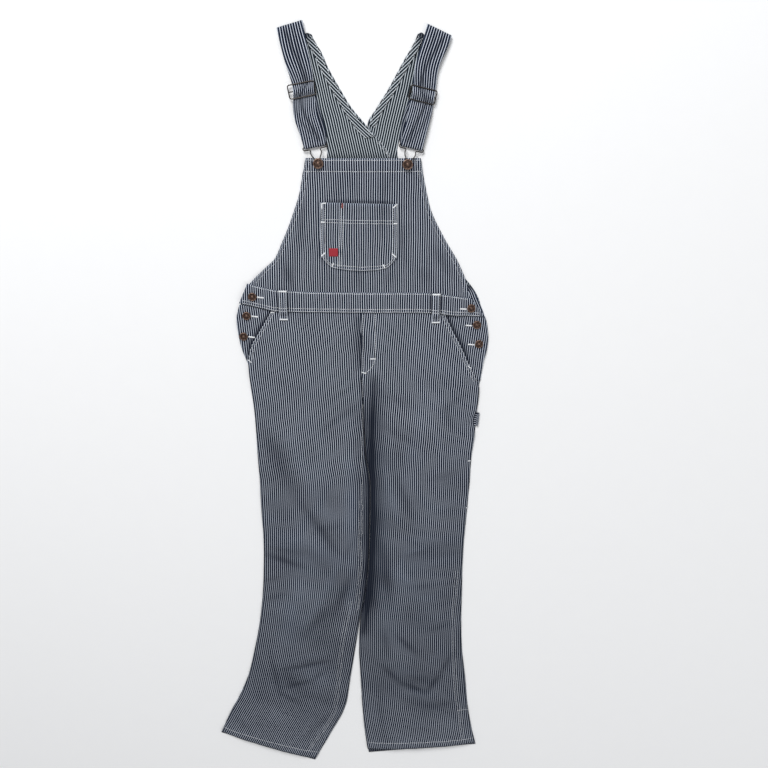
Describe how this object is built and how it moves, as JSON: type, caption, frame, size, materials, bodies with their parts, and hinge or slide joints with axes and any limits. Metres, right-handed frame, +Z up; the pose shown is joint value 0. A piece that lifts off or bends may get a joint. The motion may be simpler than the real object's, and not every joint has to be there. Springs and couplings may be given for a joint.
{
  "type": "striped bib dungarees laid flat",
  "caption": "Long striped denim dungarees laid flat on their back, with a bib, a bib pocket, buttoned hips and straps in wire sliders and hooks.",
  "frame": {"origin": "middle of the bounding box's underside, on the surface that the garment lies on", "axes": "+Z up out of the surface and out of the garment's front, +Y from the hems towards the straps, +X towards the wearer's left"},
  "size_m": [0.515, 1.4048, 0.0146],
  "materials": {
    "denim": "matt navy and white woven stripe",
    "denim_inside": "matt wrong side of the striped cloth",
    "label_red": "matt red woven tape, bare",
    "wire": "dark antique plated wire",
    "button": "antique copper"
  },
  "bodies": {
    "root": {"back_upper_left": "denim_inside", "back_upper_right": "denim_inside", "belt_loop_left": "denim", "belt_loop_right": "denim", "bib_button_left": "button", "bib_button_right": "button", "bib_front": "denim", "bib_pocket": "denim", "button_stand_left": "denim", "button_stand_right": "denim", "hammer_loop": "denim", "hip_facing_left": "denim", "hip_facing_right": "denim", "hook_left": "wire", "hook_right": "wire", "leg_back_left": "denim", "leg_back_right": "denim", "leg_front_left": "denim", "leg_front_right": "denim", "neck_facing_left": "denim_inside", "neck_facing_right": "denim_inside", "pocket_label": "label_red", "side_button_left_1": "button", "side_button_left_2": "button", "side_button_left_3": "button", "side_button_right_1": "button", "side_button_right_2": "button", "side_button_right_3": "button", "slider_left": "wire", "slider_right": "wire", "strap_left": "denim", "strap_right": "denim", "waistband_front": "denim"}
  },
  "joints": []
}
